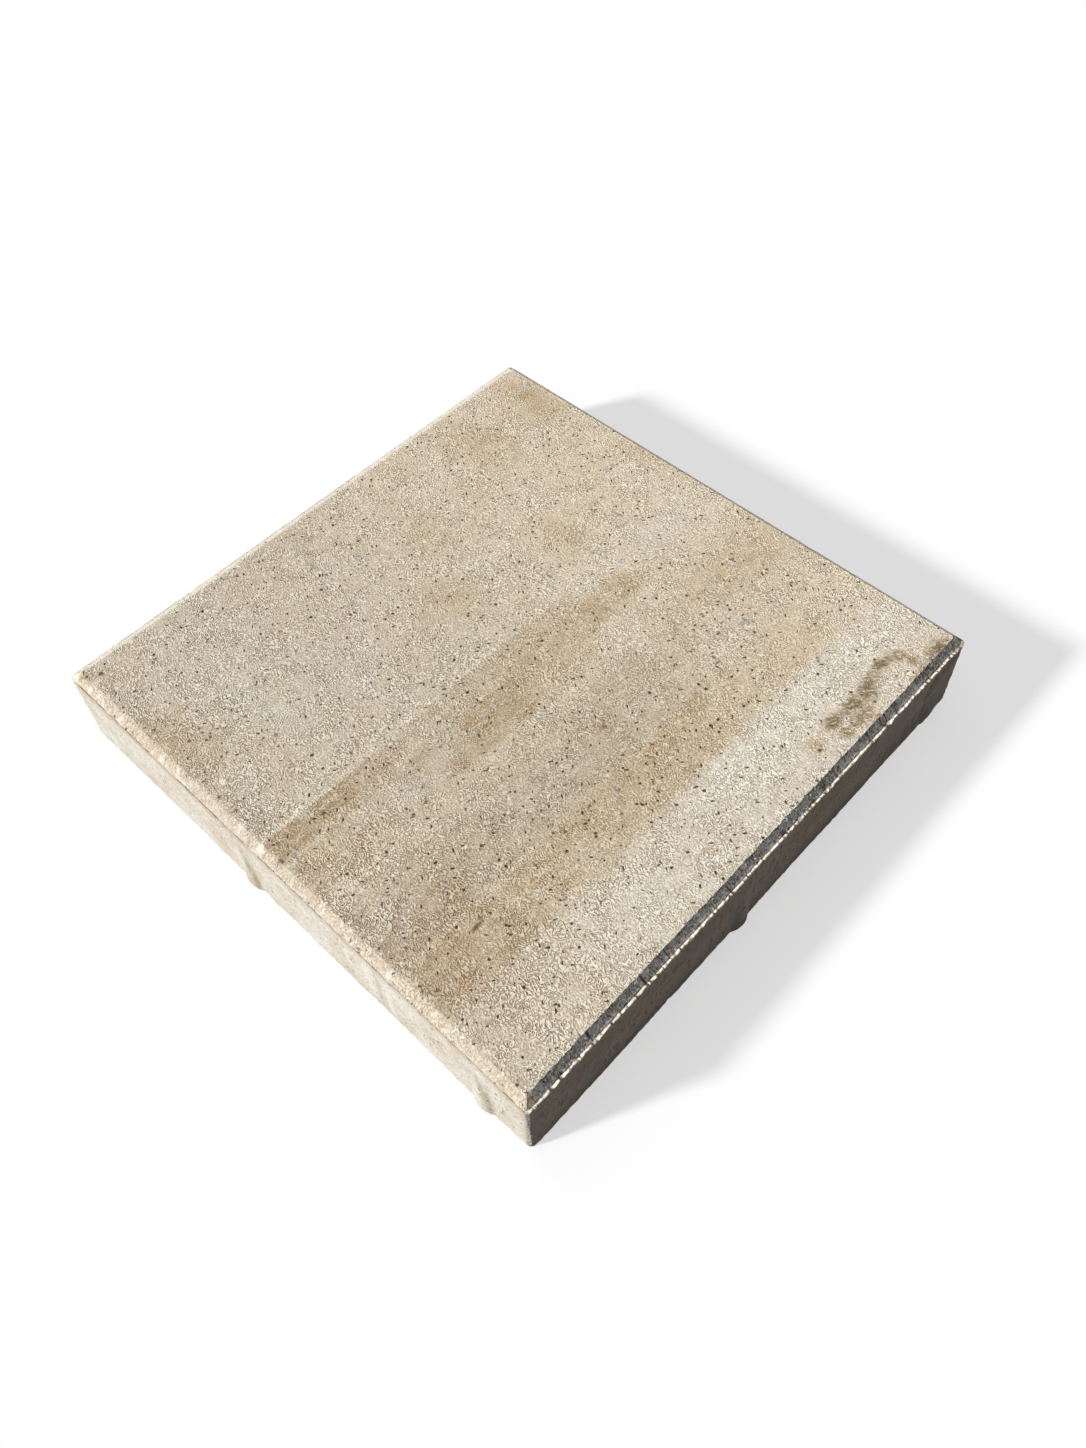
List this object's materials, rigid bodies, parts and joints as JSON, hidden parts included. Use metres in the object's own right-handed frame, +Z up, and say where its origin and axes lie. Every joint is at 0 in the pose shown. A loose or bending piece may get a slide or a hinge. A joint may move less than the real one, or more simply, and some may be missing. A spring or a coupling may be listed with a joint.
{
  "type": "concrete paving slab",
  "caption": "Square cast concrete paving slab with a chamfered walking face and tapered spacer nibs on its sides, laid flat as paving.",
  "frame": {"origin": "middle of the bed face, which lies on the ground", "axes": "+Z up through the thickness to the walking face, +X and +Y square to the sides"},
  "size_m": [0.4052, 0.4052, 0.065],
  "materials": {
    "concrete": "pressed concrete, fine sandy grain with pinholes, weathered and stained"
  },
  "bodies": {
    "root": {"paving_slab": "concrete"}
  },
  "joints": []
}
